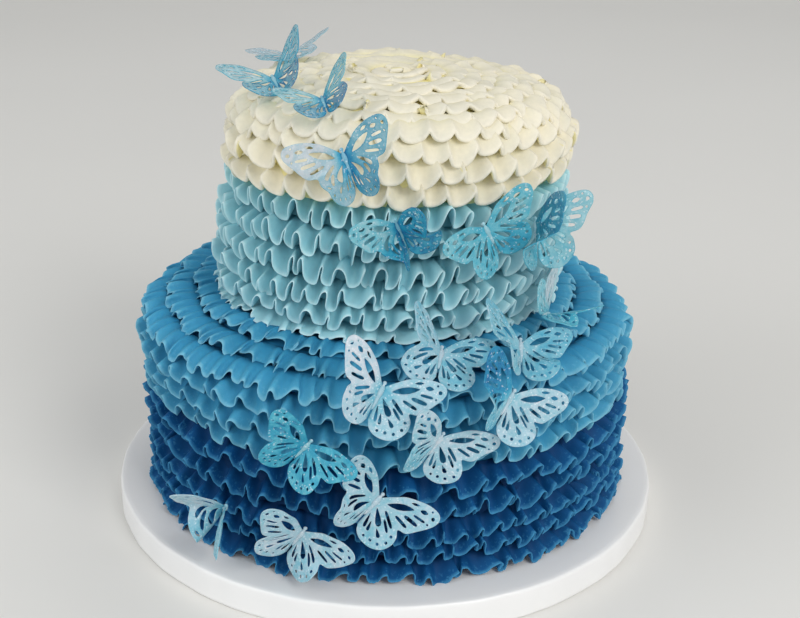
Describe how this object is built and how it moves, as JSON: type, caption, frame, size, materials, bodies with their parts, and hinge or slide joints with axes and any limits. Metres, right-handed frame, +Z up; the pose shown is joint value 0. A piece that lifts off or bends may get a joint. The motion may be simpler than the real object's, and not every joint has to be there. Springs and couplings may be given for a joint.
{
  "type": "tiered wedding cake",
  "caption": "Tiered wedding cake on a round foil-covered drum, with frilled piped icing fading from deep blue through teal to cream petals and cut-out wafer butterflies trailing down it",
  "frame": {"origin": "centre of the drum's underside, on the surface that the cake stands on", "axes": "+Z up through both tiers, -Y towards the front, where the butterflies trail down, +X to the right seen from the front"},
  "size_m": [0.28, 0.28, 0.245],
  "materials": {
    "foil": "white embossed foil, creased and pleated where it folds under",
    "icing_deep_blue": "soft buttercream, deep blue with paler thin edges",
    "icing_mid_blue": "soft buttercream, middle blue",
    "icing_teal": "soft buttercream, pale teal",
    "icing_cream": "soft buttercream, cream, thick and slightly glossy",
    "wafer_pale": "white wafer paper brushed with a little pale blue",
    "wafer_blue": "wafer paper brushed blue, slightly see-through and glittering",
    "wafer_bright_blue": "wafer paper brushed strong blue, slightly glossy"
  },
  "bodies": {
    "root": {"drum": "foil", "lower_tier_deep_blue": "icing_deep_blue", "lower_tier_mid_blue": "icing_mid_blue", "upper_tier_teal": "icing_teal", "upper_tier_cream": "icing_cream", "butterfly_01": "wafer_blue", "butterfly_02": "wafer_pale", "butterfly_03": "wafer_blue", "butterfly_04": "wafer_pale", "butterfly_05": "wafer_bright_blue", "butterfly_06": "wafer_blue", "butterfly_07": "wafer_blue", "butterfly_08": "wafer_pale", "butterfly_09": "wafer_pale", "butterfly_10": "wafer_blue", "butterfly_11": "wafer_pale", "butterfly_12": "wafer_pale", "butterfly_13": "wafer_pale", "butterfly_14": "wafer_blue", "butterfly_15": "wafer_pale", "butterfly_16": "wafer_pale", "butterfly_17": "wafer_pale"}
  },
  "joints": []
}
